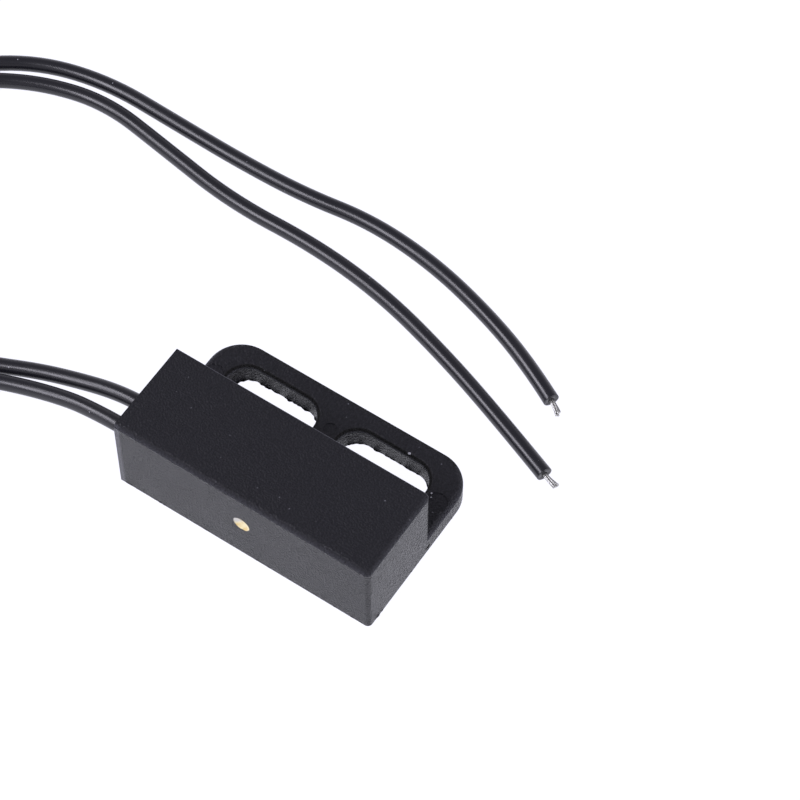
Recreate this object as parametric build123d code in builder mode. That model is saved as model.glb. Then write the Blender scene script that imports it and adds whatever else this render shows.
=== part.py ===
# Flange-mount reed proximity switch: a black moulded housing, potted round a glass reed capsule,
# with two loose insulated leads. Millimetres, +Z up, +X along the body away from the leads.
# The origin is in the middle of the housing's footprint, to 0.1 mm, on the face that it is screwed down by.

from build123d import *
import os
from math import pi, radians, tan

os.makedirs("parts", exist_ok=True)

# Housing
body_length = 28.2
body_width = 10.0
body_height = 10.0
flange_width = 8.2
flange_thickness = 2.5
flange_corner = 3.6
front_y = -9.0             # the sensing face
block_edge = 0.5           # moulded radius of the block's edges away from the open end
rim_edge = 0.6             # of the flange's rim
slot_rim_edge = 0.45
crisp_edge = 0.15          # of the block's top edge along the flange
slot_width = 4.5           # clears an M4 screw
slot_length = 9.9
slot_spacing = 12.7
slot_middle_x = -0.2       # half way between the slots
slot_edge_distance = 4.45  # from the slots' centre line to the flange's rear edge
side_wall = 1.1
floor_wall = 1.2
end_wall = 1.5
cavity_corner = 0.6
port_diameter = 1.8        # filling port in the front wall
port_height = 5.4
pin_mark_diameter = 2.2    # witness marks of the mould's ejector pins, on the flange
pin_mark_depth = 0.06
pin_mark_x = 12.7
pin_mark_y = 4.2
middle_mark_diameter = 1.3
middle_mark_y = 5.3
scar_y = 0.75              # gate scar in the closed end, where the runner was broken off
scar_z = 0.7
scar_length = 0.7
scar_height = 0.32
scar_depth = 0.5
potting_recess = 0.3       # from the lead end down to the resin
plug_recess = 0.25         # from the sensing face down to the resin in the port

# Reed switch
reed_height = 6.2
reed_middle = 2.5          # the capsule's middle, along X
capsule_length = 12.0
capsule_diameter = 2.0
capsule_bore = 1.5
seal_length = 1.5
capsule_shoulder = 0.35
reed_wire = 0.6
reed_bend = 1.0
near_root_straight_end = -5.6   # where each root turns down to the splice level, along X
near_root_lower_start = -7.6
far_root_turn = 10.9
blade_width = 1.0
blade_thickness = 0.2
blade_tip_radius = 0.3
blade_root_chamfer = 0.25
blade_overlap = 1.0
contact_gap = 0.2
root_gap = 0.05            # between a moving blade and its fixed root
sleeve_wall = 0.4
sleeve_length = 11.0

# Cradle
cradle_start = -12.4
cradle_width = 7.0
cradle_base = 0.6
cradle_wall = 0.7
cradle_wall_height = 2.4
cradle_corner = 0.5
cradle_clearance = 0.2
saddle_thickness = 1.2
saddle_places = (-1.6, 6.6)
lead_clearance = 0.05

# Leads
lead_diameter = 1.6
strands_diameter = 0.6
bare_length = 1.9
lead_spacing = 3.0
lead_height = 2.9
ferrule_length = 3.4
ferrule_wall = 0.25
shrink_wall = 0.3
shrink_overhang = 0.6
near_splice = -10.1        # middle of each splice, along X
far_splice = 4.7
strip_length = 2.4         # from the insulation's end to the middle of the splice
bend_share = 0.45          # of the shorter run, taken by the arc at a corner

# Coil that the spare length is wound into, two leads side by side, and its tie
coil_x = -51.0
coil_y = -1.0
inner_turn_radius = 7.2
coil_layers = 4
tie_width = 2.2
tie_thickness = 0.3
tie_play = 0.05
tie_corner = 0.9
tied_corner = 0.5
tied_squeeze = 0.4         # how much narrower the bundle is under the tie
twist_length = 6.0
twist_diameter = 1.5

# Places that follow from the sizes above
step_y = front_y + body_width
rear_y = step_y + flange_width
body_y = front_y + body_width / 2
open_x = -body_length / 2
closed_x = body_length / 2
slot_y = rear_y - slot_edge_distance
slot_places = [(slot_middle_x + side * slot_spacing / 2, slot_y) for side in (-1, 1)]
cavity_width = body_width - 2 * side_wall
cavity_height = body_height - 2 * floor_wall
potting_face_x = open_x + potting_recess
potting_plug_y = front_y + plug_recess
capsule_left = reed_middle - capsule_length / 2
capsule_right = reed_middle + capsule_length / 2
near_root_x = capsule_left + seal_length
far_root_x = capsule_right - seal_length
rear_lead_y = body_y + lead_spacing / 2
front_lead_y = body_y - lead_spacing / 2
lead_radius = lead_diameter / 2
outer_turn_radius = inner_turn_radius + lead_diameter
coil_base = tie_thickness + tie_play
first_turn_z = coil_base + lead_radius
last_turn_z = first_turn_z + (coil_layers - 1) * lead_diameter
coil_inside = inner_turn_radius - lead_radius
coil_outside = outer_turn_radius + lead_radius
on_table = lead_radius

# Routes of the free leads, chosen by hand. Each starts at the housing, or at the coil.
rear_lead_route = [
    (open_x, rear_lead_y, lead_height),
    (-16.2, rear_lead_y, lead_height),
    (-19.35, -2.6, 2.45),
    (-22.64, -3.12, 1.87),
    (-27.15, -4.26, 1.3),
    (-32.5, -6.4, on_table),
    (-38.4, -8.1, on_table),
    (-44.8, -8.25, on_table + 0.1),
    (coil_x, coil_y - inner_turn_radius, first_turn_z),
]
front_lead_route = [
    (open_x, front_lead_y, lead_height),
    (-16.4, front_lead_y, lead_height),
    (-19.45, -5.43, 2.47),
    (-22.7, -5.5, 1.92),
    (-28.0, -6.6, 1.2),
    (-33.4, -8.6, on_table),
    (-38.9, -9.8, on_table),
    (-44.8, -9.85, on_table + 0.1),
    (coil_x, coil_y - outer_turn_radius, first_turn_z),
]
rear_tail_route = [
    (coil_x - inner_turn_radius, coil_y, last_turn_z),
    (-58.2, 6.6, 6.2),
    (-57.7, 13.8, 3.3),
    (-54.2, 20.0, on_table),
    (-48.0, 23.6, on_table),
    (-41.0, 25.25, on_table),
    (-33.0, 23.95, on_table),
    (-23.5, 22.35, on_table),
    (-13.5, 22.6, on_table),
    (-4.5, 21.45, on_table),
    (4.5, 18.8, on_table),
    (12.5, 15.85, on_table),
    (18.97, 13.25, on_table),
]
front_tail_route = [
    (coil_x - outer_turn_radius, coil_y, last_turn_z),
    (-59.8, 6.1, 6.1),
    (-59.5, 13.2, 3.3),
    (-56.8, 20.2, on_table),
    (-50.4, 25.3, on_table),
    (-42.5, 27.4, on_table),
    (-33.5, 27.1, on_table),
    (-25.5, 26.85, on_table),
    (-18.0, 27.0, on_table),
    (-10.5, 28.05, on_table),
    (-2.5, 27.25, on_table),
    (5.0, 25.15, on_table),
    (11.0, 22.75, on_table),
    (15.15, 20.49, on_table),
]


def bend_radii(points):
    corners = [Vector(p) for p in points]
    radii = []
    for before, corner, after in zip(corners, corners[1:], corners[2:]):
        arriving = corner - before
        leaving = after - corner
        half_turn = radians(arriving.get_angle(leaving)) / 2
        radii.append(bend_share * min(arriving.length, leaving.length) / tan(half_turn))
    return radii


def sweep_round(points, diameter, radii):
    # A round bar along straight runs joined by tangent arcs, added to the part being built.
    with BuildLine() as path:
        FilletPolyline(*points, radius=radii)
    with BuildSketch(Plane(path.line @ 0, z_dir=path.line % 0)) as section:
        Circle(diameter / 2)
    sweep(section.sketch, path=path.line)
    return path.wires()[0].length


def report_lead(piece, points, length):
    expected = length * pi * lead_radius**2
    print(f"{piece.part.label}: {length:.1f} mm long, volume {piece.part.volume:.1f} of {expected:.1f} mm3")
    print("   bend radii", " ".join(f"{r:.1f}" for r in bend_radii(points)))


def cylinder_x(start, end, y, z, diameter, mode=Mode.ADD):
    # A round bar along X, added to or cut from the part being built.
    with BuildSketch(Plane(origin=(start, y, z), x_dir=(0, 1, 0), z_dir=(1, 0, 0))) as section:
        Circle(diameter / 2)
    extrude(section.sketch, amount=end - start, mode=mode)


def save(piece, name):
    piece.part.label = name
    export_step(piece.part, f"parts/{name}.step")


# Housing: flange plate with its slots, the body block on it, and the cavity that opens at the lead end
with BuildPart() as housing:
    with BuildSketch():
        with Locations((0, (step_y - side_wall + rear_y) / 2)):
            Rectangle(body_length, flange_width + side_wall)
        fillet(vertices().group_by(Axis.Y)[-1], radius=flange_corner)
    extrude(amount=flange_thickness)
    rim = edges().group_by(Axis.Z)[-1]
    fillet(rim.sort_by(Axis.X)[1:].sort_by(Axis.Y)[1:], radius=rim_edge)
    with BuildSketch():
        with Locations(*slot_places):
            SlotOverall(slot_length, slot_width)
    extrude(amount=flange_thickness, mode=Mode.SUBTRACT)
    slot_rims = faces().filter_by(Axis.Z).sort_by(Axis.Z)[-1].inner_wires()
    fillet([edge for slot_rim in slot_rims for edge in slot_rim.edges()], radius=slot_rim_edge)
    with BuildSketch(Plane.XY.offset(flange_thickness)):
        with Locations((-pin_mark_x, pin_mark_y), (pin_mark_x, pin_mark_y)):
            Circle(pin_mark_diameter / 2)
        with Locations((0, middle_mark_y)):
            Circle(middle_mark_diameter / 2)
    extrude(amount=-pin_mark_depth, mode=Mode.SUBTRACT)

    with BuildPart(mode=Mode.PRIVATE) as block:
        with Locations((0, body_y, body_height / 2)):
            Box(body_length, body_width, body_height)
        top_face = faces().sort_by(Axis.Z)[-1]
        front_top = top_face.edges().sort_by(Axis.Y)[0]
        closed_top = top_face.edges().sort_by(Axis.X)[-1]
        closed_uprights = edges().filter_by(Axis.Z).group_by(Axis.X)[-1]
        fillet([front_top, closed_top, *closed_uprights], radius=block_edge)
        fillet(faces().sort_by(Axis.Y)[-1].edges().sort_by(Axis.Z)[-1], radius=crisp_edge)
    add(block.part)
    with BuildSketch(Plane(origin=(open_x, body_y, body_height / 2), x_dir=(0, 1, 0), z_dir=(1, 0, 0))):
        RectangleRounded(cavity_width, cavity_height, cavity_corner)
    extrude(amount=body_length - end_wall, mode=Mode.SUBTRACT)
    with BuildSketch(Plane(origin=(0, front_y, port_height), x_dir=(1, 0, 0), z_dir=(0, -1, 0))):
        Circle(port_diameter / 2)
    extrude(amount=-side_wall, mode=Mode.SUBTRACT)
    with BuildSketch(Plane(origin=(closed_x, scar_y, scar_z), x_dir=(0, 1, 0), z_dir=(1, 0, 0))):
        SlotOverall(scar_length, scar_height)
    extrude(amount=-scar_depth, mode=Mode.SUBTRACT)
save(housing, "housing")

# Glass capsule, closed round the two roots
with BuildPart() as glass_capsule:
    cylinder_x(capsule_left, capsule_right, body_y, reed_height, capsule_diameter)
    fillet(edges().filter_by(GeomType.CIRCLE), radius=capsule_shoulder)
    cylinder_x(near_root_x, far_root_x, body_y, reed_height, capsule_bore, Mode.SUBTRACT)
    cylinder_x(capsule_left, capsule_right, body_y, reed_height, reed_wire, Mode.SUBTRACT)
save(glass_capsule, "glass_capsule")

# Silicone sleeve that keeps the setting resin from straining the glass
with BuildPart() as buffer_sleeve:
    sleeve_start = reed_middle - sleeve_length / 2
    sleeve_end = reed_middle + sleeve_length / 2
    cylinder_x(sleeve_start, sleeve_end, body_y, reed_height, capsule_diameter + 2 * sleeve_wall)
    cylinder_x(sleeve_start, sleeve_end, body_y, reed_height, capsule_diameter, Mode.SUBTRACT)
save(buffer_sleeve, "buffer_sleeve")

# Fixed nickel-iron roots, from inside the capsule to the splices
near_root_route = [
    (near_root_x, body_y, reed_height),
    (near_root_straight_end, body_y, reed_height),
    (near_root_lower_start, front_lead_y, lead_height),
    (near_splice, front_lead_y, lead_height),
]
with BuildPart() as near_reed_root:
    sweep_round(near_root_route, reed_wire, [reed_bend, reed_bend])
save(near_reed_root, "near_reed_root")

far_root_route = [
    (far_root_x, body_y, reed_height),
    (far_root_turn, body_y, reed_height),
    (far_root_turn, rear_lead_y, lead_height),
    (far_splice, rear_lead_y, lead_height),
]
with BuildPart() as far_reed_root:
    sweep_round(far_root_route, reed_wire, [reed_bend, reed_bend])
save(far_reed_root, "far_reed_root")

# Flattened blades, which bend together to close the contact: the near one above, the far one below
blade_reach = (far_root_x - near_root_x + blade_overlap) / 2
near_blade_z = reed_height + contact_gap / 2
far_blade_z = reed_height - contact_gap / 2 - blade_thickness
for name, root_x, side, blade_z in (
    ("near_reed_blade", near_root_x, 1, near_blade_z),
    ("far_reed_blade", far_root_x, -1, far_blade_z),
):
    start = root_x + side * root_gap
    end = root_x + side * blade_reach
    with BuildPart() as blade:
        with BuildSketch(Plane.XY.offset(blade_z)):
            with Locations(((start + end) / 2, body_y)):
                Rectangle(blade_reach - root_gap, blade_width)
            fillet(vertices().sort_by(Axis.X, reverse=side > 0)[:2], radius=blade_tip_radius)
            chamfer(vertices().sort_by(Axis.X, reverse=side < 0)[:2], length=blade_root_chamfer)
        extrude(amount=blade_thickness)
    save(blade, name)

# Cradle under the capsule: a base, two low walls and two saddles
cradle_end = closed_x - end_wall - cradle_clearance
cradle_floor_z = floor_wall + cradle_clearance
with BuildPart() as reed_cradle:
    with BuildSketch(Plane.XY.offset(cradle_floor_z)):
        with Locations(((cradle_start + cradle_end) / 2, body_y)):
            RectangleRounded(cradle_end - cradle_start, cradle_width, cradle_corner)
    extrude(amount=cradle_base)
    with BuildSketch(Plane.XY.offset(cradle_floor_z + cradle_base)):
        wall_y = (cradle_width - cradle_wall) / 2
        with Locations((reed_middle, body_y - wall_y), (reed_middle, body_y + wall_y)):
            Rectangle(sleeve_length, cradle_wall)
    extrude(amount=cradle_wall_height)
    for x in saddle_places:
        saddle_plane = Plane(origin=(x - saddle_thickness / 2, body_y, 0), x_dir=(0, 1, 0), z_dir=(1, 0, 0))
        with BuildSketch(saddle_plane):
            with Locations((0, (cradle_floor_z + reed_height) / 2)):
                Rectangle(cradle_width - 2 * cradle_wall, reed_height - cradle_floor_z)
            with Locations((0, reed_height)):
                Circle(capsule_diameter / 2 + sleeve_wall, mode=Mode.SUBTRACT)
            with Locations((lead_spacing / 2, lead_height)):
                Circle(lead_radius + lead_clearance, mode=Mode.SUBTRACT)
        extrude(amount=saddle_thickness)
save(reed_cradle, "reed_cradle")

# Each lead inside the housing: insulation, bared strands, crimped ferrule and heat-shrink sleeve
inner_leads = []
for name, lead_y, splice_x in (
    ("front_lead", front_lead_y, near_splice),
    ("rear_lead", rear_lead_y, far_splice),
):
    insulation_end = splice_x - strip_length
    ferrule_start = splice_x - ferrule_length / 2
    ferrule_end = splice_x + ferrule_length / 2
    ferrule_diameter = strands_diameter + 2 * ferrule_wall
    shrink_start = ferrule_start - shrink_overhang
    shrink_end = ferrule_end + shrink_overhang
    with BuildPart() as insulation:
        cylinder_x(open_x, insulation_end, lead_y, lead_height, lead_diameter)
    save(insulation, name + "_inner")
    with BuildPart() as strands:
        cylinder_x(insulation_end, splice_x, lead_y, lead_height, strands_diameter)
    save(strands, name + "_inner_strands")
    with BuildPart() as ferrule:
        cylinder_x(ferrule_start, ferrule_end, lead_y, lead_height, ferrule_diameter)
        cylinder_x(ferrule_start, ferrule_end, lead_y, lead_height, strands_diameter, Mode.SUBTRACT)
    save(ferrule, name + "_ferrule")
    with BuildPart() as shrink:
        cylinder_x(shrink_start, shrink_end, lead_y, lead_height, ferrule_diameter + 2 * shrink_wall)
        cylinder_x(shrink_start, shrink_end, lead_y, lead_height, ferrule_diameter, Mode.SUBTRACT)
    save(shrink, name + "_shrink_sleeve")
    inner_leads += [insulation, strands, ferrule, shrink]

# Cast resin that fills the cavity and the port, with every inner piece set in it
with BuildPart() as potting_compound:
    potting_plane = Plane(origin=(potting_face_x, body_y, body_height / 2), x_dir=(0, 1, 0), z_dir=(1, 0, 0))
    with BuildSketch(potting_plane):
        RectangleRounded(cavity_width, cavity_height, cavity_corner)
    extrude(amount=closed_x - end_wall - potting_face_x)
    with BuildSketch(Plane(origin=(0, potting_plug_y, port_height), x_dir=(1, 0, 0), z_dir=(0, -1, 0))):
        Circle(port_diameter / 2)
    extrude(amount=potting_plug_y - front_y - side_wall)
    cylinder_x(near_root_x, far_root_x, body_y, reed_height, capsule_bore, Mode.SUBTRACT)
    for piece in [glass_capsule, buffer_sleeve, near_reed_root, far_reed_root, reed_cradle] + inner_leads:
        add(piece.part, mode=Mode.SUBTRACT)
save(potting_compound, "potting_compound")

# Free leads, from the housing to the coil and from the coil to the bared ends
for name, route in (
    ("rear_lead", rear_lead_route),
    ("front_lead", front_lead_route),
    ("rear_lead_tail", rear_tail_route),
    ("front_lead_tail", front_tail_route),
):
    with BuildPart() as lead:
        lead_length = sweep_round(route, lead_diameter, bend_radii(route))
    save(lead, name)
    report_lead(lead, route, lead_length)

# Bared strands at the far ends
for name, route in (("rear_lead_strands", rear_tail_route), ("front_lead_strands", front_tail_route)):
    tip = Vector(route[-1])
    heading = tip - Vector(route[-2])
    with BuildPart() as bare_strands:
        with BuildSketch(Plane(tip, z_dir=heading)):
            Circle(strands_diameter / 2)
        extrude(amount=bare_length)
    save(bare_strands, name)

# Coil of both leads, narrowed where the tie goes round it
coil_top = last_turn_z + lead_radius
tie_y = coil_y + (coil_inside + coil_outside) / 2
tied_top = coil_base + (coil_layers - 1) * lead_diameter
bundle_width = coil_outside - coil_inside
with BuildPart() as lead_coil:
    with BuildSketch():
        with Locations((coil_x, coil_y)):
            Circle(coil_outside)
            Circle(coil_inside, mode=Mode.SUBTRACT)
    extrude(amount=coil_top)
    with BuildSketch(Plane(origin=(coil_x, tie_y, 0), x_dir=(0, 1, 0), z_dir=(1, 0, 0))):
        with Locations((0, coil_top / 2)):
            Rectangle(2 * bundle_width, 2 * coil_top)
        with Locations((0, (coil_base + tied_top) / 2)):
            RectangleRounded(
                bundle_width - tied_squeeze, tied_top - coil_base, tied_corner, mode=Mode.SUBTRACT
            )
    extrude(amount=tie_width / 2 + tie_play, both=True, mode=Mode.SUBTRACT)
save(lead_coil, "lead_coil")

# Twist tie round the coil: a flat band with its two ends twisted together on the coil's outside
tie_height = tied_top + tie_play + tie_thickness
with BuildPart() as coil_tie:
    with BuildSketch(Plane(origin=(coil_x, tie_y, 0), x_dir=(0, 1, 0), z_dir=(1, 0, 0))):
        with Locations((0, tie_height / 2)):
            RectangleRounded(bundle_width + 2 * (tie_play + tie_thickness), tie_height, tie_corner)
        with Locations((0, (tie_thickness + tied_top + tie_play) / 2)):
            RectangleRounded(
                bundle_width + 2 * tie_play,
                tied_top + tie_play - tie_thickness,
                tie_corner - tie_thickness,
                mode=Mode.SUBTRACT,
            )
    extrude(amount=tie_width / 2, both=True)
    twist_start = (coil_x, coil_y + coil_outside, tie_height - twist_diameter)
    with BuildSketch(Plane(origin=twist_start, z_dir=(0, 1, 0))):
        Circle(twist_diameter / 2)
    extrude(amount=twist_length)
save(coil_tie, "coil_tie")
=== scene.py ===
# Potted reed switch for a door frame, with two loose leads.
# Looks only: the shapes that carry load come from the CAD frame.
from math import cos, exp, pi, radians, sin

import bmesh
import bpy
from mathutils import Matrix, Vector, noise


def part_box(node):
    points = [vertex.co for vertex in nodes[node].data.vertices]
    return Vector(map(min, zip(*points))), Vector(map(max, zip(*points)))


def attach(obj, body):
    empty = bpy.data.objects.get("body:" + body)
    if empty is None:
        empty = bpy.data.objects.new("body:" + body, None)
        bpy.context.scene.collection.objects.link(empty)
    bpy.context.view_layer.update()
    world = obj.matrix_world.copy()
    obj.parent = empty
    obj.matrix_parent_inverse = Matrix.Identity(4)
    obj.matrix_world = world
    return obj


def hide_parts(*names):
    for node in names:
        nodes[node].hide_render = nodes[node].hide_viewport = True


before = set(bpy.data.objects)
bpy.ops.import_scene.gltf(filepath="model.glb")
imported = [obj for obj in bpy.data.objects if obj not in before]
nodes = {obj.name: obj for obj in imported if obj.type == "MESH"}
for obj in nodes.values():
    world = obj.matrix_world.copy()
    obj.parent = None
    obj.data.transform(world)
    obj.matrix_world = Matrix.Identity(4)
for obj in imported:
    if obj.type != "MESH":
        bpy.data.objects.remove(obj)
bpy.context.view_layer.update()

scene = bpy.context.scene
switchBody = "switch_body"
mm = 0.001


def fromHex(code):  # sRGB hex to the linear colour that the shader wants
    channels = [int(code[i:i + 2], 16) / 255 for i in (1, 3, 5)]
    return [c / 12.92 if c <= 0.04045 else ((c + 0.055) / 1.055) ** 2.4 for c in channels] + [1.0]


def addNode(tree, kind, settings=(), links=()):
    # settings: sockets or properties and their values; links: sockets and the outputs that feed them
    node = tree.nodes.new(kind)
    for name, value in dict(settings).items():
        if isinstance(name, int) or name in node.inputs:
            node.inputs[name].default_value = value
        else:
            setattr(node, name, value)
    for name, source in dict(links).items():
        tree.links.new(source, node.inputs[name])
    return node


def feed(tree, socket, source):  # a number or a colour is set, another node's output is linked
    if isinstance(source, bpy.types.NodeSocket):
        tree.links.new(source, socket)
    else:
        socket.default_value = source


def noiseField(tree, place, size, detail):  # size is how far apart its bumps are
    noiseNode = addNode(tree, "ShaderNodeTexNoise", {"Scale": 1 / size, "Detail": detail}, {"Vector": place})
    return noiseNode.outputs["Fac"]


def rescale(tree, value, fromRange=(0.0, 1.0), toRange=(0.0, 1.0)):
    ends = dict(zip(("From Min", "From Max", "To Min", "To Max"), (*fromRange, *toRange)))
    return addNode(tree, "ShaderNodeMapRange", ends, {"Value": value}).outputs[0]


def calculate(tree, operation, *values):
    node = addNode(tree, "ShaderNodeMath", {"operation": operation})
    for index, value in enumerate(values):
        feed(tree, node.inputs[index], value)
    return node.outputs[0]


def mixColours(tree, by, first, second):  # hex codes, or sockets that give a colour
    mix = addNode(tree, "ShaderNodeMix", {"data_type": "RGBA"}, {0: by})
    for index, colour in ((6, first), (7, second)):
        feed(tree, mix.inputs[index], fromHex(colour) if isinstance(colour, str) else colour)
    return mix.outputs[2]


def bumpFrom(tree, height, strength, depth):
    bump = addNode(tree, "ShaderNodeBump", {"Distance": depth}, {"Height": height})
    feed(tree, bump.inputs["Strength"], strength)
    return bump.outputs[0]


def near(tree, place, middle):  # distance from a point of the part
    away = addNode(tree, "ShaderNodeVectorMath", {"operation": "DISTANCE", 1: middle}, {0: place})
    return away.outputs["Value"]


def startMaterial(name, **sockets):
    material = bpy.data.materials.new(name)
    material.use_nodes = True
    tree = material.node_tree
    shader = tree.nodes["Principled BSDF"]
    for socket, value in sockets.items():
        shader.inputs[socket.replace("_", " ")].default_value = value
    place = addNode(tree, "ShaderNodeTexCoord").outputs["Object"]
    return material, tree, shader, place


def wire(tree, shader, colour, rough=None, bump=None):
    for socket, source in (("Base Color", colour), ("Roughness", rough), ("Normal", bump)):
        if source is not None:
            tree.links.new(source, shader.inputs[socket])


def dress(objects, material):
    for thing in objects:
        thing.data.materials.clear()
        thing.data.materials.append(material)


def finishPiece(name, bm, material, crease=50):  # edges sharper than crease degrees stay sharp
    mesh = bpy.data.meshes.new(name)
    bm.to_mesh(mesh)
    bm.free()
    mesh.shade_smooth()
    mesh.set_sharp_from_angle(angle=radians(crease))
    piece = bpy.data.objects.new(name, mesh)
    scene.collection.objects.link(piece)
    dress([piece], material)
    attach(piece, switchBody)
    return piece


cameraSettings = {
    "place": (0.0893, -0.1180, 0.2584),
    "turn": 33.42,        # degrees round from the front, towards the closed end
    "above": 58.75,
    "roll": 0.34,
    "lens": 142.2,
    "shift": (-0.000625, 0.000625),
}
cameraData = bpy.data.cameras.new("camera")
cameraData.lens = cameraSettings["lens"]
cameraData.sensor_width = 36.0
cameraData.shift_x, cameraData.shift_y = cameraSettings["shift"]
cameraData.clip_start = 0.01
cameraData.clip_end = 20
camera = bpy.data.objects.new("camera", cameraData)
scene.collection.objects.link(camera)
camera.matrix_world = (
    Matrix.Translation(cameraSettings["place"])
    @ Matrix.Rotation(radians(cameraSettings["turn"]), 4, "Z")
    @ Matrix.Rotation(radians(90 - cameraSettings["above"]), 4, "X")
    @ Matrix.Rotation(radians(cameraSettings["roll"]), 4, "Z")
)
scene.camera = camera
print("camera set")


noiseMiddle = (0.3, 0.7)    # where nearly all of a noise field's values lie
leadLook = {
    "colour": "#1b1b20",
    "dust": "#8c8c92",
    "roughness": (0.23, 0.31),
    "wear": 4 * mm,
    "dieLine": 0.35 * mm,
    "dieDepth": 0.02 * mm,
    "dustSpacing": 1.6 * mm,
    "dustSize": 0.04,         # as a share of the spacing
}


def makeLeadPvc():
    # Flexible PVC, extruded: black with a soft shine, a very faint ripple from the die, and a little dust
    material, tree, shader, place = startMaterial("extrudedPvc", Specular_IOR_Level=0.5, IOR=1.53)
    ripple = noiseField(tree, place, leadLook["dieLine"], 2.0)
    wear = noiseField(tree, place, leadLook["wear"], 3.0)
    dust = addNode(tree, "ShaderNodeTexVoronoi", {"Scale": 1 / leadLook["dustSpacing"]}, {"Vector": place})
    dusty = calculate(tree, "LESS_THAN", dust.outputs["Distance"], leadLook["dustSize"])
    wire(tree, shader, mixColours(tree, dusty, leadLook["colour"], leadLook["dust"]),
         rescale(tree, wear, noiseMiddle, leadLook["roughness"]),
         bumpFrom(tree, ripple, 0.06, leadLook["dieDepth"]))
    return material


leadPvc = makeLeadPvc()
cutLook = {"colours": ("#8a8a90", "#a6a6ac"), "drag": 0.12 * mm, "dragDepth": 0.03 * mm}


def makeCutPvc():
    # The same PVC where cutters went through it: paler and dull, with drag marks
    material, tree, shader, place = startMaterial("cutPvc", Roughness=0.6, IOR=1.53)
    drag = noiseField(tree, place, cutLook["drag"], 2.0)
    wire(tree, shader, mixColours(tree, drag, *cutLook["colours"]),
         bump=bumpFrom(tree, drag, 0.3, cutLook["dragDepth"]))
    return material


cutPvc = makeCutPvc()
strandLook = {"colours": ("#c6c6c3", "#a0a09c"), "patch": 0.35 * mm, "roughness": (0.32, 0.45)}


def makeTinnedCopper():
    # Copper wire, hot-dip tinned: soft grey metal with dull patches
    material, tree, shader, place = startMaterial("tinnedCopper", Metallic=1.0)
    patch = noiseField(tree, place, strandLook["patch"], 3.0)
    wire(tree, shader, mixColours(tree, patch, *strandLook["colours"]),
         rescale(tree, patch, noiseMiddle, strandLook["roughness"]))
    return material


tinnedCopper = makeTinnedCopper()
tieLook = {
    "colours": ("#232327", "#33333a"),
    "grain": 0.5 * mm,
    "grainDepth": 0.03 * mm,
    "roughness": (0.3, 0.5),
}


def makeTiePvc():
    # PVC film round a wire, calendered: black, satin, creased where it has been twisted
    material, tree, shader, place = startMaterial("calenderedPvc", IOR=1.53)
    grain = noiseField(tree, place, tieLook["grain"], 4.0)
    wire(tree, shader, mixColours(tree, grain, *tieLook["colours"]),
         rescale(tree, grain, noiseMiddle, tieLook["roughness"]),
         bumpFrom(tree, grain, 0.3, tieLook["grainDepth"]))
    return material


tiePvc = makeTiePvc()


# One spline for each lead: out of the housing, along the table, round the coil and back to the bared end.
# Places along the leads are in millimetres.
leadSettings = {
    "diameter": 1.6 * mm,
    "length": 0.30,
    "onTable": 0.8,
    "exitHeight": 2.9,
    "coilCentre": (-51.0, -1.0),
    "coilTurns": 3.25,
    "pointsPerTurn": 16,
    "firstTurnZ": 1.15,
    "hopStart": 136,      # degrees before a full turn at which the lead starts to climb to the next layer
    "hopLength": 90,
    "cutBack": 0.5,       # the last of the insulation is a piece of its own, with the hole for the strands
}
low = leadSettings["onTable"]
exitZ = leadSettings["exitHeight"]
coilX, coilY = leadSettings["coilCentre"]
rearLeadOut = [
    (-14.1, -2.5, exitZ), (-16.2, -2.5, exitZ), (-19.35, -2.6, 2.45), (-22.64, -3.12, 1.87),
    (-27.15, -4.26, 1.3), (-32.5, -6.4, low), (-38.4, -8.1, low), (-44.8, -8.25, low + 0.1),
]
frontLeadOut = [
    (-14.1, -5.5, exitZ), (-16.4, -5.5, exitZ), (-19.45, -5.43, 2.47), (-22.7, -5.5, 1.92),
    (-28.0, -6.6, 1.2), (-33.4, -8.6, low), (-38.9, -9.8, low), (-44.8, -9.85, low + 0.1),
]
rearLeadBack = [
    (-58.2, 6.6, 6.2), (-57.7, 13.8, 3.3), (-54.2, 20.0, low), (-48.0, 23.6, low), (-41.0, 25.25, low),
    (-33.0, 23.95, low), (-23.5, 22.35, low), (-13.5, 22.6, low), (-4.5, 21.45, low), (4.5, 18.8, low),
    (12.5, 15.85, low), (18.97, 13.25, low),
]
frontLeadBack = [
    (-59.8, 6.1, 6.1), (-59.5, 13.2, 3.3), (-56.8, 20.2, low), (-50.4, 25.3, low), (-42.5, 27.4, low),
    (-33.5, 27.1, low), (-25.5, 26.85, low), (-18.0, 27.0, low), (-10.5, 28.05, low), (-2.5, 27.25, low),
    (5.0, 25.15, low), (11.0, 22.75, low), (15.15, 20.49, low),
]


def coilPoints(turnRadius):
    # clockwise from the front of the coil, climbing one lead's thickness in each turn
    perTurn = leadSettings["pointsPerTurn"]
    reach = turnRadius / cos(pi / perTurn)
    points = []
    for k in range(-1, int(leadSettings["coilTurns"] * perTurn) + 1):
        wound = (k + 0.5) * 360 / perTurn
        layers = 0.0
        for turn in (1, 2, 3):
            climb = (wound - (turn * 360 - leadSettings["hopStart"])) / leadSettings["hopLength"]
            climb = min(1.0, max(0.0, climb))
            layers += climb * climb * (3 - 2 * climb)
        angle = radians(270 - wound)
        z = leadSettings["firstTurnZ"] + layers * leadSettings["diameter"] / mm
        points.append((coilX + reach * cos(angle), coilY + reach * sin(angle), z))
    return points


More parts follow.
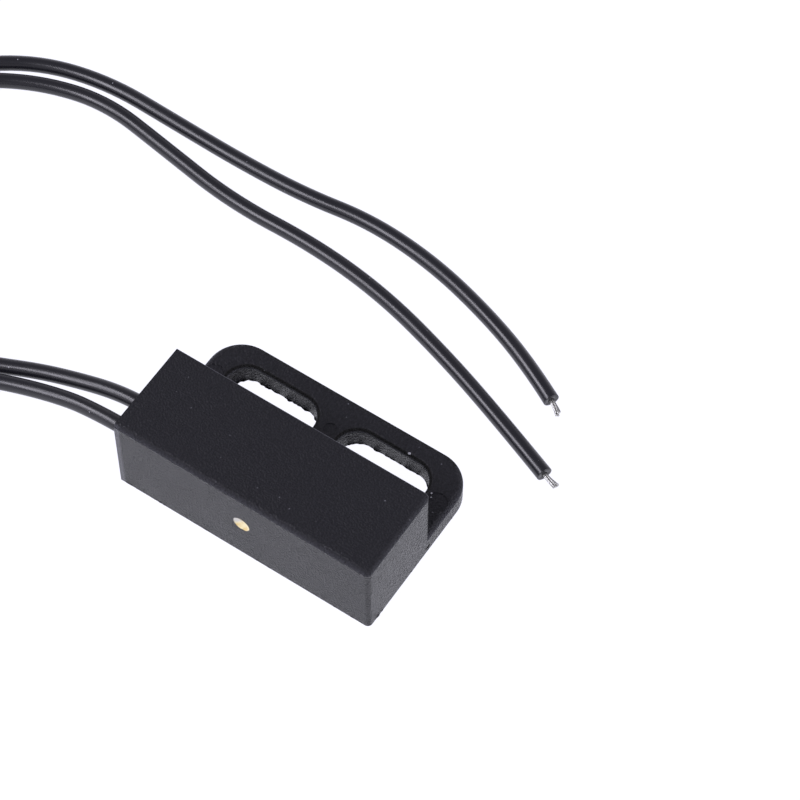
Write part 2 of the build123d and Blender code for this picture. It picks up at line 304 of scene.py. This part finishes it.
def makeLead(name, out, turnRadius, back, replaced):
    tip = Vector(back[-1])
    heading = (tip - Vector(back[-2])).normalized()
    back = back[:-1] + [tuple(tip - heading * leadSettings["cutBack"])]
    points = out + coilPoints(turnRadius) + back
    curve = bpy.data.curves.new(name, "CURVE")
    curve.dimensions = "3D"
    curve.bevel_depth = leadSettings["diameter"] / 2
    curve.bevel_resolution = 6
    curve.resolution_u = 8
    curve.use_fill_caps = True
    spline = curve.splines.new("NURBS")
    spline.points.add(len(points) - 1)
    for point, place in zip(spline.points, points):
        point.co = [c * mm for c in place] + [1.0]
    spline.order_u = 3
    spline.use_endpoint_u = True
    spline.use_smooth = True
    lead = bpy.data.objects.new(name, curve)
    scene.collection.objects.link(lead)
    dress([lead], leadPvc)
    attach(lead, switchBody)
    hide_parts(*replaced)
    return lead, tip * mm, heading


rearLead, rearTip, rearHeading = makeLead(
    "rearLead", rearLeadOut, 7.2, rearLeadBack, ["rear_lead", "rear_lead_tail", "lead_coil"])
frontLead, frontTip, frontHeading = makeLead(
    "frontLead", frontLeadOut, 8.8, frontLeadBack, ["front_lead", "front_lead_tail", "lead_coil"])
print("leads laid")


def alongHeading(tip, heading):
    # turns +Z to the way a lead points, with the origin at the end of its insulation
    return Matrix.Translation(tip) @ heading.to_track_quat("Z", "Y").to_matrix().to_4x4()


def lathe(profile, steps=48):  # closed solid of revolution round +Z from (radius, height) pairs
    bm = bmesh.new()
    verts = [bm.verts.new((r, 0, z)) for r, z in profile]
    edges = [bm.edges.new(pair) for pair in zip(verts, verts[1:])]
    bmesh.ops.spin(bm, geom=verts + edges, cent=(0, 0, 0), axis=(0, 0, 1), angle=2 * pi, steps=steps,
                   use_merge=True)
    bmesh.ops.remove_doubles(bm, verts=bm.verts, dist=0.0005 * mm)
    bmesh.ops.recalc_face_normals(bm, faces=bm.faces)
    return bm


# Ends of the insulation, cut with cutters that leave a slightly torn ring round the strands
collarSettings = {
    "hole": 0.3 * mm,
    "depth": 0.35 * mm,
    "roll": 0.035 * mm,
    "tear": 0.035 * mm,
    "tearSize": 0.45 * mm,
    "bulge": 0.015 * mm,
    "overlap": 0.03 * mm,
    "lap": 0.004 * mm,    # how far it stands out round the spline's end, so that the two don't coincide
}


def makeCollar(name, tip, heading, seed):
    outer = leadSettings["diameter"] / 2
    hole, roll, depth = collarSettings["hole"], collarSettings["roll"], collarSettings["depth"]
    tear, tearSize = collarSettings["tear"], collarSettings["tearSize"]
    foot = -leadSettings["cutBack"] * mm - collarSettings["overlap"]
    profile = [
        (0, -depth), (hole, -depth), (hole, -roll), (hole + roll * 0.4, -roll * 0.2), (hole + roll, 0),
        ((hole + outer) / 2, collarSettings["bulge"]), (outer - roll, 0), (outer - roll * 0.3, -roll * 0.3),
        (outer, -roll), (outer, foot / 2), (outer + collarSettings["lap"], foot), (0, foot),
    ]
    bm = lathe(profile)
    for v in [v for v in bm.verts if v.co.z > -roll * 1.5 and v.co.length > hole * 0.9]:
        pull = noise.noise(Vector((v.co.x, v.co.y, seed * mm)) / tearSize)
        v.co.z += pull * tear + v.co.x * tear / outer
    for face in bm.faces:
        middle = face.calc_center_median()
        face.material_index = 1 if middle.z > -roll * 0.9 and middle.xy.length > hole else 0
    bm.transform(alongHeading(tip, heading))
    collar = finishPiece(name, bm, leadPvc)
    collar.data.materials.append(cutPvc)
    return collar


# Bared strands: one in the middle and six round it, with the twist that stripping leaves in them
strandSettings = {
    "thickness": 0.165 * mm,
    "length": 1.65 * mm,
    "root": 0.3 * mm,     # how far they start inside the collar
    "twist": 34,          # degrees from collar to tip
    "flare": 0.45,
    "bend": 6,            # degrees
    "tipEdge": 0.025 * mm,
    "steps": 14,
}


def makeStrands(name, tip, heading, bendTo, lengths, replaced):  # lengths are shares of the settings' length
    thick, root = strandSettings["thickness"], strandSettings["root"]
    steps = strandSettings["steps"]
    bm = bmesh.new()
    for index, share in enumerate(lengths):
        run = root + strandSettings["length"] * share
        around = radians(60 * index)
        out = 0 if index == 6 else thick
        middle = Vector((out * cos(around), out * sin(around), -root))
        strand = bmesh.ops.create_circle(bm, cap_ends=True, segments=10, radius=thick / 2,
                                         matrix=Matrix.Translation(middle))["verts"]
        faces = list({f for v in strand for f in v.link_faces})
        edges = list({e for v in strand for e in v.link_edges})
        bmesh.ops.spin(bm, geom=strand + edges + faces, cent=(0, 0, 0), axis=(0, 0, 1),
                       angle=radians(strandSettings["twist"] * share), dvec=(0, 0, run / steps), steps=steps,
                       use_merge=False)
    bmesh.ops.recalc_face_normals(bm, faces=bm.faces)
    sharp = [e for e in bm.edges if e.is_manifold and e.calc_face_angle() > radians(60)]
    bmesh.ops.bevel(bm, geom=sharp, offset=strandSettings["tipEdge"], affect="EDGES", segments=2,
                    profile=0.5, material=-1)
    side = (alongHeading(tip, heading).inverted().to_3x3() @ bendTo).normalized()
    for v in bm.verts:
        along = max(0.0, v.co.z) / strandSettings["length"]
        spread = 1 + strandSettings["flare"] * along * along
        v.co.x *= spread
        v.co.y *= spread
        v.co += side * (radians(strandSettings["bend"]) * strandSettings["length"] * along * along)
    bm.transform(alongHeading(tip, heading))
    strands = finishPiece(name, bm, tinnedCopper)
    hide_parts(replaced)
    return strands


rearCollar = makeCollar("rearCollar", rearTip, rearHeading, 3)
frontCollar = makeCollar("frontCollar", frontTip, frontHeading, 11)
rearStrands = makeStrands("rearStrands", rearTip, rearHeading, Vector((0.84, 0.55, 0.0)),
                          (0.98, 0.9, 1.0, 0.94, 0.86, 0.97, 0.99), "rear_lead_strands")
frontStrands = makeStrands("frontStrands", frontTip, frontHeading, Vector((-0.2, -0.9, -0.3)),
                           (0.93, 1.0, 0.88, 0.97, 1.0, 0.9, 0.96), "front_lead_strands")


# Twist tie round the coil: a flat plastic band with a wire down its middle, its ends twisted together
tieSettings = {
    "band": (2.2 * mm, 3.9 * mm, 5.5 * mm),
    "middle": (-51.0 * mm, 7.0 * mm),
    "corner": 0.9 * mm,
    "thickness": 0.3 * mm,
    "wire": 0.5 * mm,
    "rib": 0.014 * mm,
    "twistStart": (-51.0 * mm, 8.5 * mm, 4.0 * mm),
    "twistLength": 6.0 * mm,
    "twistWidth": 1.42 * mm,
    "turns": 3.5,
    "steps": 70,
}


def makeTie():
    width, across, height = tieSettings["band"]
    thickness, start = tieSettings["thickness"], tieSettings["twistStart"]
    halfWire = tieSettings["wire"] / 2
    bm = bmesh.new()
    bmesh.ops.create_cube(bm, size=1, matrix=Matrix.Diagonal((width, across, height, 1)))
    corners = [e for e in bm.edges if abs(e.verts[0].co.x - e.verts[1].co.x) > width / 2]
    bmesh.ops.bevel(bm, geom=corners, offset=tieSettings["corner"], affect="EDGES", segments=8, profile=0.5,
                    material=-1)
    ends = [f for f in bm.faces if abs(f.normal.x) > 0.9]
    bmesh.ops.delete(bm, geom=ends, context="FACES")
    for x in (-1, -0.5, 0, 0.5, 1):
        bmesh.ops.bisect_plane(bm, geom=bm.verts[:] + bm.edges[:] + bm.faces[:],
                               plane_co=(x * halfWire, 0, 0), plane_no=(1, 0, 0))
    bmesh.ops.solidify(bm, geom=bm.faces[:], thickness=thickness)
    for v in bm.verts:  # the wire shows as a low ridge on the outside
        beside = abs(v.co.x) / halfWire
        outside = max(abs(v.co.y) / (across / 2), abs(v.co.z) / (height / 2))
        if beside < 0.9 and outside > 0.97:
            v.co += Vector((0, v.co.y, v.co.z)).normalized() * tieSettings["rib"] * (1 - beside * beside)
    bmesh.ops.translate(bm, verts=bm.verts, vec=(*tieSettings["middle"], height / 2))
    steps = tieSettings["steps"]
    for half in (0, 1):  # two flat ends lie face to face and twist as one
        run = tieSettings["twistLength"] * (1 - 0.05 * half)
        shape = bmesh.ops.create_circle(bm, cap_ends=True, segments=20, radius=0.5)["verts"]
        bmesh.ops.scale(bm, verts=shape, vec=(tieSettings["twistWidth"], thickness * 1.15, 1))
        bmesh.ops.translate(bm, verts=shape, vec=(0, (half - 0.5) * thickness * 1.1, 0))
        bmesh.ops.rotate(bm, verts=shape, matrix=Matrix.Rotation(-pi / 2, 3, "X"))
        bmesh.ops.translate(bm, verts=shape, vec=start)
        faces = list({f for v in shape for f in v.link_faces})
        edges = list({e for v in shape for e in v.link_edges})
        bmesh.ops.spin(bm, geom=shape + edges + faces, cent=start, axis=(0, 1, 0), dvec=(0, run / steps, 0),
                       angle=2 * pi * tieSettings["turns"], steps=steps, use_merge=False)
    bmesh.ops.recalc_face_normals(bm, faces=bm.faces)
    tie = finishPiece("coilTie", bm, tiePvc)
    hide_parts("coil_tie")
    return tie


coilTie = makeTie()
print("lead ends and tie made")


floorSettings = {
    "size": 3.0,
    "drop": 0.05 * mm,
    "colour": "#454549",
    "glow": 0.98,
    "tint": (1.0, 1.0, 1.1, 1),
}
floorMesh = bpy.data.meshes.new("floor")
bm = bmesh.new()
bmesh.ops.create_grid(bm, x_segments=1, y_segments=1, size=floorSettings["size"] / 2)
bmesh.ops.translate(bm, verts=bm.verts, vec=(0, 0, -floorSettings["drop"]))
bm.to_mesh(floorMesh)
bm.free()
floor = bpy.data.objects.new("floor", floorMesh)
scene.collection.objects.link(floor)
floorMaterial, tree, shader, place = startMaterial(
    "opalAcrylic", Base_Color=fromHex(floorSettings["colour"]), Roughness=0.6,
    Specular_IOR_Level=0.1, Emission_Color=floorSettings["tint"], Emission_Strength=floorSettings["glow"])
dress([floor], floorMaterial)

# The sky is brightest low down, so walls see more of it than the top does
skySettings = {"colour": (1.0, 0.98, 1.1, 1), "heights": (0.15, 0.7), "strengths": (0.75, 0.23)}
world = bpy.data.worlds.new("studio")
scene.world = world
world.use_nodes = True
sky = world.node_tree
skyPlace = addNode(sky, "ShaderNodeTexCoord").outputs["Generated"]
skyHeight = addNode(sky, "ShaderNodeSeparateXYZ", {}, {0: skyPlace}).outputs["Z"]
skyStrength = rescale(sky, skyHeight, skySettings["heights"], skySettings["strengths"])
background = sky.nodes["Background"].inputs
background["Color"].default_value = skySettings["colour"]
sky.links.new(skyStrength, background["Strength"])

lampColour = (0.93, 0.91, 1.02)
lightSettings = {
    "front": {"turn": -29, "above": 45, "far": 0.9, "size": (0.245, 0.46), "radiance": 9.0},
    "right": {"turn": 112, "above": 27, "far": 0.9, "size": (1.0, 0.5), "radiance": 3.2},
    "left": {"turn": -63, "above": 41, "far": 0.9, "size": (0.36, 0.38), "radiance": 8.5},
}
for name, light in lightSettings.items():
    data = bpy.data.lights.new(name, "AREA")
    data.shape = "RECTANGLE"
    data.size, data.size_y = light["size"]
    data.energy = light["radiance"] * pi * data.size * data.size_y
    data.color = lampColour
    lamp = bpy.data.objects.new(name, data)
    turn, above = radians(light["turn"]), radians(light["above"])
    away = Vector((sin(turn) * cos(above), -cos(turn) * cos(above), sin(above)))
    lamp.location = away * light["far"]
    lamp.rotation_euler = away.to_track_quat("Z", "Y").to_euler()
    scene.collection.objects.link(lamp)
scene.view_settings.view_transform = "Standard"
scene.view_settings.look = "None"
print("lights set")


housingLook = {
    "pit": "#020203",
    "fleck": "#28282e",
    "dust": "#5c5c62",
    "trimmed": "#626268",
    # painted sheen on the fillets
    "filletSheen": "#3a3a40",
    "shaded": "#020202",
    # painted highlight on the rear top edge
    "edgeHighlight": "#55555c",
    "ior": 1.35,
    "grain": 0.2 * mm,
    "cloud": 2.6 * mm,
    "dustSpacing": 1.1 * mm,
    "dustSize": 0.07,         # as a share of the spacing
    "roughSide": 0.17,
    "roughTop": 0.4,
    "roughEdge": 0.7,
    "grainDepth": 0.6 * mm,
    "grainStrength": (1.0, 0.3),          # on the side walls, and on top
    "fleckContrast": (1.0, 0.3),          # on the side walls, and on top
    "fleckShare": 0.45,
    "trimmedFrom": -13.45 * mm,
    "trimmedFade": 0.25 * mm,
    "trimmedRagged": 0.5 * mm,
    "slotZone": (12.0 * mm, 3.0 * mm),    # the slots' rims lie nearer to the middle and to the table
    "scar": (14.1 * mm, 0.75 * mm, 0.7 * mm),
    "scarReach": 0.42 * mm,
    "scuff": (14.1 * mm, -1.2 * mm, 2.85 * mm),
    "scuffRadius": 0.22 * mm,
    "scuffWidth": 0.08 * mm,
}


def makeHousingPlastic():
    # Black ABS, injection moulded in a spark-eroded cavity: matt, its uneven grain clearest on the side walls
    look = housingLook
    material, tree, shader, place = startMaterial("mouldedAbs", IOR=look["ior"])
    normal = addNode(tree, "ShaderNodeNewGeometry").outputs["Normal"]
    facing = addNode(tree, "ShaderNodeSeparateXYZ", {}, {0: normal}).outputs
    across = addNode(tree, "ShaderNodeSeparateXYZ", {}, {0: place}).outputs
    upward = rescale(tree, facing["Z"], (0.5, 0.95))
    turned = rescale(tree, facing["Z"], (0.02, 0.12))    # 0 on the side walls, 1 anywhere that leans upwards
    grain = noiseField(tree, place, look["grain"], 1.0)
    cloud = noiseField(tree, place, look["cloud"], 3.0)

    # the cavity was eroded roughest where it turns a corner, so radii take no highlight
    flat = rescale(tree, facing["Z"], (0.9, 0.99), (look["roughEdge"], look["roughTop"]))
    faceRough = addNode(tree, "ShaderNodeMix", {2: look["roughSide"]}, {0: turned, 3: flat})
    rough = calculate(tree, "MULTIPLY_ADD", cloud, 0.1, faceRough.outputs[0])
    bump = bumpFrom(tree, grain, rescale(tree, upward, toRange=look["grainStrength"]), look["grainDepth"])

    contrast = rescale(tree, upward, toRange=look["fleckContrast"])
    fleckOff = rescale(tree, grain, noiseMiddle, (-0.5, 0.5))
    fleckBy = calculate(tree, "MULTIPLY_ADD", fleckOff, contrast, look["fleckShare"])
    colour = mixColours(tree, fleckBy, look["pit"], look["fleck"])

    # a thin paler strip beside the open end, where flash was trimmed off the side walls
    ragged = calculate(tree, "MULTIPLY_ADD", grain, look["trimmedRagged"], across["X"])
    trimmedTo = look["trimmedFrom"] + look["trimmedFade"]
    strip = rescale(tree, ragged, (trimmedTo, look["trimmedFrom"]), (0.0, 0.8))
    onSide = calculate(tree, "SUBTRACT", 1.0, upward)
    colour = mixColours(tree, calculate(tree, "MULTIPLY", strip, onSide), colour, look["trimmed"])

    # painted sheen: the fillets are painted a little paler, most where they meet the walls, for the bright
    # low sky they reflect
    filletSheenMask = calculate(tree, "MULTIPLY", rescale(tree, facing["Z"], (0.97, 0.3)), turned)
    colour = mixColours(tree, filletSheenMask, colour, look["filletSheen"])

    # painted shade: the slots' rims are painted dark where their fillets turn away from the light
    inward = calculate(tree, "ABSOLUTE", across["X"])
    besideSlots = calculate(tree, "LESS_THAN", inward, look["slotZone"][0])
    onFlange = calculate(tree, "LESS_THAN", across["Z"], look["slotZone"][1])
    leaning = rescale(tree, facing["Z"], (0.985, 0.9))
    notWall = rescale(tree, facing["Z"], (0.3, 0.6))
    rimZone = calculate(tree, "MULTIPLY", besideSlots, onFlange)
    rimShadeBand = calculate(tree, "MULTIPLY", leaning, notWall)
    colour = mixColours(tree, calculate(tree, "MULTIPLY", rimZone, rimShadeBand), colour, look["shaded"])

    # painted highlight: a pale line along the block's crisp rear top edge above the flange, where its small
    # fillet catches the light
    rearward = rescale(tree, facing["Y"], (0.25, 0.5))
    onBlock = calculate(tree, "GREATER_THAN", across["Z"], look["slotZone"][1])
    rearEdgeHighlight = calculate(tree, "MULTIPLY", calculate(tree, "MULTIPLY", rearward, turned), onBlock)
    colour = mixColours(tree, rearEdgeHighlight, colour, look["edgeHighlight"])

    # closed end: the inside of the gate scar is painted shade, and a thin ring of the same painted shade
    # marks a small round scuff beside it
    scarred = calculate(tree, "LESS_THAN", near(tree, place, look["scar"]), look["scarReach"])
    scuffOff = calculate(tree, "SUBTRACT", near(tree, place, look["scuff"]), look["scuffRadius"])
    scuffed = rescale(tree, calculate(tree, "ABSOLUTE", scuffOff), (look["scuffWidth"], 0.0), (0.0, 0.6))
    colour = mixColours(tree, calculate(tree, "MAXIMUM", scarred, scuffed), colour, look["shaded"])

    # dust: pale points, stronger in some cells than in others
    dust = addNode(tree, "ShaderNodeTexVoronoi", {"Scale": 1 / look["dustSpacing"]}, {"Vector": place})
    point = calculate(tree, "LESS_THAN", dust.outputs["Distance"], look["dustSize"])
    cell = addNode(tree, "ShaderNodeSeparateColor", {}, {0: dust.outputs["Color"]})
    colour = mixColours(tree, calculate(tree, "MULTIPLY", point, cell.outputs[0]), colour, look["dust"])
    wire(tree, shader, colour, rough, bump)
    return material


mouldedAbs = makeHousingPlastic()
dress([nodes["housing"]], mouldedAbs)


# Mould flash and painted contact shade: thin torn skins of the housing's plastic, along the bottom edges of
# the slots and outside; besides the flash, they darken the foot of the walls where contact shade lies
flashAndShadeSettings = {
    "slots": ((-6.55 * mm, 0.2 * mm), (6.15 * mm, 0.1 * mm)),    # middle along X, and how far it reaches in
    "slotY": 4.75 * mm,
    "slotRadius": 2.25 * mm,
    "slotStraight": 2.7 * mm,
    "outside": 0.08 * mm,
    "corner": 0.5 * mm,
    "endRun": 13.4 * mm,      # along the closed end, from the corner on
    "root": 0.12 * mm,
    "thickness": 0.1 * mm,
    "steps": 44,
    "torn": 0.9 * mm,
    "thinned": -0.3,
    "fullness": 0.35,
    "lift": 0.002 * mm,
}


def runAlong(bm, vert, centre, angle, step, steps):
    # draws an arc or a straight run on from a vertex, and gives the vertex at its end
    made = bmesh.ops.spin(bm, geom=[vert], cent=centre, axis=(0, 0, -1), angle=angle, dvec=step, steps=steps,
                          use_merge=False)
    return [g for g in made["geom_last"] if isinstance(g, bmesh.types.BMVert)][0]


def tearSkin(name, bm, spread):
    # widens an outline into a ragged skin; spread gives the way out, the reach and the fullness at a place
    bmesh.ops.remove_doubles(bm, verts=bm.verts, dist=0.001 * mm)
    grown = bmesh.ops.extrude_edge_only(bm, edges=bm.edges[:])["geom"]
    for v in [g for g in grown if isinstance(g, bmesh.types.BMVert)]:
        way, reach, fullness = spread(v.co)
        ragged = noise.noise(v.co / flashAndShadeSettings["torn"])
        ragged += 0.6 * noise.noise(v.co / (flashAndShadeSettings["torn"] / 3))
        v.co += way * (flashAndShadeSettings["root"] + reach * max(0.0, fullness + ragged))
    bmesh.ops.solidify(bm, geom=bm.faces[:], thickness=flashAndShadeSettings["thickness"])
    lowest = min(v.co.z for v in bm.verts)
    bmesh.ops.translate(bm, verts=bm.verts, vec=(0, 0, flashAndShadeSettings["lift"] - lowest))
    bmesh.ops.recalc_face_normals(bm, faces=bm.faces)
    return finishPiece(name, bm, mouldedAbs)


def makeSlotFlashAndShade():
    bm = bmesh.new()
    radius, straight = flashAndShadeSettings["slotRadius"], flashAndShadeSettings["slotStraight"]
    y, steps = flashAndShadeSettings["slotY"], flashAndShadeSettings["steps"]
    for x, _ in flashAndShadeSettings["slots"]:
        vert = bm.verts.new((x - straight, y - radius - flashAndShadeSettings["root"], 0))
        for side in (-1, 1):
            vert = runAlong(bm, vert, (x + side * straight, y, 0), pi, (0, 0, 0), steps)
            vert = runAlong(bm, vert, (x, y, 0), 0, (-side * 2 * straight / steps, 0, 0), steps)

    def inwards(place):
        x, reach = min(flashAndShadeSettings["slots"], key=lambda slot: abs(slot[0] - place.x))
        core = Vector((min(max(place.x, x - straight), x + straight), y, 0))
        return (core - place).normalized(), reach, flashAndShadeSettings["fullness"]

    return tearSkin("slotFlashAndShade", bm, inwards)


def makeEdgeFlashAndShade():
    low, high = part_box("housing")
    corner, inset, steps = flashAndShadeSettings["corner"], flashAndShadeSettings["root"], 4 * flashAndShadeSettings["steps"]
    bm = bmesh.new()
    vert = bm.verts.new((low[0] + corner, low[1] + inset, 0))
    run = high[0] - low[0] - 2 * corner
    vert = runAlong(bm, vert, (0, 0, 0), 0, (run / steps, 0, 0), steps)
    vert = runAlong(bm, vert, (high[0] - corner, low[1] + corner, 0), -pi / 2, (0, 0, 0), 10)
    runAlong(bm, vert, (0, 0, 0), 0, (0, flashAndShadeSettings["endRun"] / steps, 0), steps)

    def outwards(place):
        core = Vector((min(place.x, high[0] - corner), max(place.y, low[1] + corner), 0))
        return (place - core).normalized(), flashAndShadeSettings["outside"], flashAndShadeSettings["thinned"]

    return tearSkin("edgeFlashAndShade", bm, outwards)


# dark skins, partly mould flash and partly a stand-in for contact shade at the walls' foot
slotFlashAndShade = makeSlotFlashAndShade()
edgeFlashAndShade = makeEdgeFlashAndShade()

# Painted highlights: small pale specks on the flange by the right-hand slot, standing in for glints on the
# edges of the slot's rim and of the ejector-pin mark
glintSpeckSettings = {
    # place and radius, in millimetres
    "specks": ((7.71, 7.23, 2.52, 0.13), (11.77, 4.81, 2.52, 0.09), (11.98, 4.42, 2.52, 0.07)),
    "rough": 0.5,
    "roughSize": 0.08 * mm,
    "flatness": 0.6,
}
bm = bmesh.new()
for x, y, z, size in glintSpeckSettings["specks"]:
    speck = bmesh.ops.create_icosphere(bm, subdivisions=2, radius=size * mm)["verts"]
    for v in speck:
        ragged = noise.noise(v.co / glintSpeckSettings["roughSize"] + Vector((x, y, z)))
        v.co *= 1 + glintSpeckSettings["rough"] * ragged
        v.co.z *= glintSpeckSettings["flatness"]
    bmesh.ops.translate(bm, verts=speck, vec=(x * mm, y * mm, z * mm))
# pale specks in the cut-PVC colour, as painted highlights
glintSpecks = finishPiece("glintSpecks", bm, cutPvc)


resinLook = {"cream": "#ecdfae", "amber": "#c9a24a", "pale": "#cfcdc4", "cloud": 0.5 * mm, "patch": 1.5 * mm}


def makePottingEpoxy():
    # Two-part epoxy, cast: cream with amber clouds and pale patches, glossy where it set in the air
    material, tree, shader, place = startMaterial("castEpoxy", Roughness=0.22, IOR=1.55)
    cloudy = rescale(tree, noiseField(tree, place, resinLook["cloud"], 3.0), (0.45, 0.75))
    patchy = rescale(tree, noiseField(tree, place, resinLook["patch"], 1.0), (0.5, 0.6))
    body = mixColours(tree, cloudy, resinLook["cream"], resinLook["amber"])
    wire(tree, shader, mixColours(tree, patchy, body, resinLook["pale"]))
    return material


castEpoxy = makePottingEpoxy()
dress([nodes["potting_compound"]], castEpoxy)


# Skin of the resin where it set at the open end: dished, and drawn up along the walls and round the leads
meniscusSettings = {
    "middle": (-4.0 * mm, 5.0 * mm),
    "size": (7.86 * mm, 7.66 * mm),
    "face": -13.83 * mm,
    "climb": 0.2 * mm,
    "reach": 0.4 * mm,
    "leads": ((-2.5 * mm, 2.9 * mm), (-5.5 * mm, 2.9 * mm)),
    "wave": 0.05 * mm,
    "waveSize": 2.2 * mm,
    "thickness": 0.08 * mm,
    "cells": 64,
}


def makeMeniscus():
    cells, reach = meniscusSettings["cells"], meniscusSettings["reach"]
    bm = bmesh.new()
    bmesh.ops.create_grid(bm, x_segments=cells, y_segments=cells, size=0.5)
    bmesh.ops.scale(bm, verts=bm.verts, vec=(*meniscusSettings["size"], 1))
    halfY, halfZ = (side / 2 for side in meniscusSettings["size"])
    for v in bm.verts:
        wall = min(halfY - abs(v.co.x), halfZ - abs(v.co.y))
        y, z = v.co.x + meniscusSettings["middle"][0], v.co.y + meniscusSettings["middle"][1]
        lead = min((Vector((y, z)) - Vector(place)).length for place in meniscusSettings["leads"])
        lead = max(0.0, lead - leadSettings["diameter"] / 2)
        wave = meniscusSettings["wave"] * noise.noise(Vector((y, z, 0)) / meniscusSettings["waveSize"])
        rise = meniscusSettings["climb"] * (exp(-wall / reach) + exp(-lead / reach)) + wave
        v.co = Vector((meniscusSettings["face"] - max(0.0, rise), y, z))
    bm.normal_update()
    bmesh.ops.solidify(bm, geom=bm.faces[:], thickness=-meniscusSettings["thickness"])
    bmesh.ops.recalc_face_normals(bm, faces=bm.faces)
    return finishPiece("endMeniscus", bm, castEpoxy)


portSettings = {
    "height": 5.4 * mm,
    "radius": 0.9 * mm,
    "plane": -8.775 * mm,
    # radius and height of the sink, from its middle out
    "dish": ((0, 0), (0.3 * mm, 0.01 * mm), (0.55 * mm, 0.045 * mm), (0.75 * mm, 0.11 * mm)),
    "brim": (0.19 * mm, 0.2 * mm),
    "lap": 0.01 * mm,     # how far it reaches into the wall
    "thickness": 0.05 * mm,
    "wave": 0.03 * mm,
    "waveSize": 0.5 * mm,
}


def makePortSkin():  # the same in the filling port, with a sink in its middle
    radius, lap, foot = portSettings["radius"], portSettings["lap"], -portSettings["thickness"]
    inner, outer = portSettings["brim"]
    rim = [(radius - 2 * lap, inner), (radius + lap, outer), (radius + lap, foot), (0, foot)]
    bm = lathe([*portSettings["dish"], *rim])
    for v in bm.verts:
        if v.co.z > foot / 2:
            wave = noise.noise(Vector((v.co.x, v.co.y, 0)) / portSettings["waveSize"])
            v.co.z += portSettings["wave"] * wave
    place = Matrix.Translation((0, portSettings["plane"], portSettings["height"]))
    bm.transform(place @ Matrix.Rotation(pi / 2, 4, "X"))
    return finishPiece("portSkin", bm, castEpoxy)


endMeniscus = makeMeniscus()
portSkin = makePortSkin()
print("housing and resin dressed")


innerLooks = {
    # Borosilicate tube, drawn and flame-sealed: clear with a green cast
    "drawnGlass": {
        "nodes": ["glass_capsule"],
        "colours": ("#b9d2bf", "#a9c6b2"), "scale": 2.0 * mm, "roughness": 0.04, "ior": 1.47, "clear": 0.85,
    },
    # Silicone rubber, extruded: milky and soft
    "extrudedSilicone": {
        "nodes": ["buffer_sleeve"],
        "colours": ("#d8d6cf", "#c9c7c0"), "scale": 0.8 * mm, "roughness": 0.5, "ior": 1.41, "clear": 0.25,
    },
    # Nickel-iron wire, drawn and flattened: bright grey with faint draw lines
    "drawnNickelIron": {
        "nodes": ["near_reed_root", "far_reed_root", "near_reed_blade", "far_reed_blade"],
        "colours": ("#b3aea6", "#9c968d"), "scale": 0.25 * mm, "roughness": 0.28, "metallic": 1.0,
    },
    # Nylon 66, injection moulded: ivory and waxy
    "mouldedNylon": {
        "nodes": ["reed_cradle"],
        "colours": ("#e3ddcd", "#d6cfbc"), "scale": 1.1 * mm, "roughness": 0.42, "ior": 1.53,
    },
    # Copper ferrule, tin plated: soft grey shine
    "platedFerrule": {
        "nodes": ["front_lead_ferrule", "rear_lead_ferrule"],
        "colours": ("#c2c2c0", "#a9a9a6"), "scale": 0.4 * mm, "roughness": 0.32, "metallic": 1.0,
    },
    # Polyolefin heat-shrink: black, satin, a little wrinkled
    "shrunkPolyolefin": {
        "nodes": ["front_lead_shrink_sleeve", "rear_lead_shrink_sleeve"],
        "colours": ("#1c1c1f", "#27272b"), "scale": 0.6 * mm, "roughness": 0.45,
    },
}


def makeInnerMaterial(name, look):
    material, tree, shader, place = startMaterial(
        name, Metallic=look.get("metallic", 0.0), IOR=look.get("ior", 1.5),
        Transmission_Weight=look.get("clear", 0.0))
    grain = noiseField(tree, place, look["scale"], 3.0)
    wire(tree, shader, mixColours(tree, grain, *look["colours"]),
         rescale(tree, grain, noiseMiddle, (look["roughness"] * 0.8, look["roughness"] * 1.25)),
         bumpFrom(tree, grain, 0.15, 0.02 * mm))
    return material


for name, look in innerLooks.items():
    dress([nodes[node] for node in look["nodes"]], makeInnerMaterial(name, look))
dress([nodes["front_lead_inner"], nodes["rear_lead_inner"]], leadPvc)
dress([nodes["front_lead_inner_strands"], nodes["rear_lead_inner_strands"]], tinnedCopper)
print("inner parts dressed")
